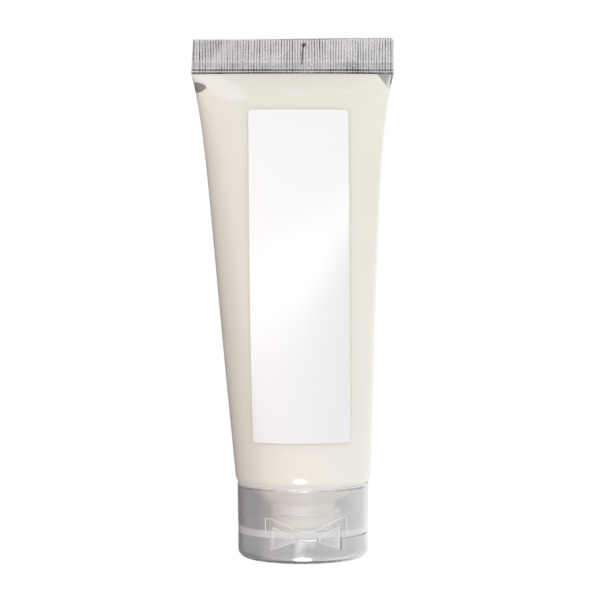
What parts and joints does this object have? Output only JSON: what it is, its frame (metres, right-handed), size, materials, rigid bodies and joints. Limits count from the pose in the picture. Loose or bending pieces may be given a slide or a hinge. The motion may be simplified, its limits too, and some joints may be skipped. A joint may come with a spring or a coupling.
{
  "type": "travel squeeze tube",
  "caption": "Clear squeeze tube of cream with a crimped tail and a plain label, standing on a clear flip-top cap with a butterfly hinge.",
  "frame": {"origin": "centre of the lid's flat face, on the cap's axis", "axes": "+Z along the cap's axis from the lid up to the crimped tail; the label and the lid's hinge face -Y; +X is to the right of the label"},
  "size_m": [0.0526, 0.035, 0.1341],
  "materials": {
    "ldpe_sleeve": "clear glossy polyethylene film",
    "hdpe_head": "milky polyethylene moulding",
    "cream": "smooth wet off-white cream",
    "label": "glossy white film label, blank",
    "pp_cap": "clear polypropylene moulding"
  },
  "bodies": {
    "tube": {"tube_sleeve": "ldpe_sleeve", "tube_head": "hdpe_head", "cream": "cream", "label": "label"},
    "cap": {"cap_base": "pp_cap"},
    "lid": {"cap_lid": "pp_cap"},
    "wing_left": {"hinge_wing_left": "pp_cap"},
    "wing_right": {"hinge_wing_right": "pp_cap"}
  },
  "joints": [
    {"name": "cap_unscrew", "type": "hinge", "parent": "tube", "child": "cap", "pos_m": [0, 0, 0.00825], "axis": [0, 0, -1], "range_deg": [0, 360]},
    {"name": "lid_open", "type": "hinge", "parent": "cap", "child": "lid", "pos_m": [0.00096, -0.01672, 0.00635], "axis": [-0.9983, -0.0576, 0], "range_deg": [0, 170]},
    {"name": "wing_left_fold", "type": "hinge", "parent": "cap", "child": "wing_left", "pos_m": [-0.00208, -0.01602, 0.00685], "axis": [-0.8939, 0.2893, 0.3424], "range_deg": [0, 93]},
    {"name": "wing_right_fold", "type": "hinge", "parent": "cap", "child": "wing_right", "pos_m": [0.00391, -0.01567, 0.00685], "axis": [-0.8548, -0.3901, -0.3424], "range_deg": [0, 93]}
  ],
  "couplings": [
    {"joint": "wing_left_fold", "follows": "lid_open", "ratio": 0.545},
    {"joint": "wing_right_fold", "follows": "lid_open", "ratio": 0.545}
  ]
}
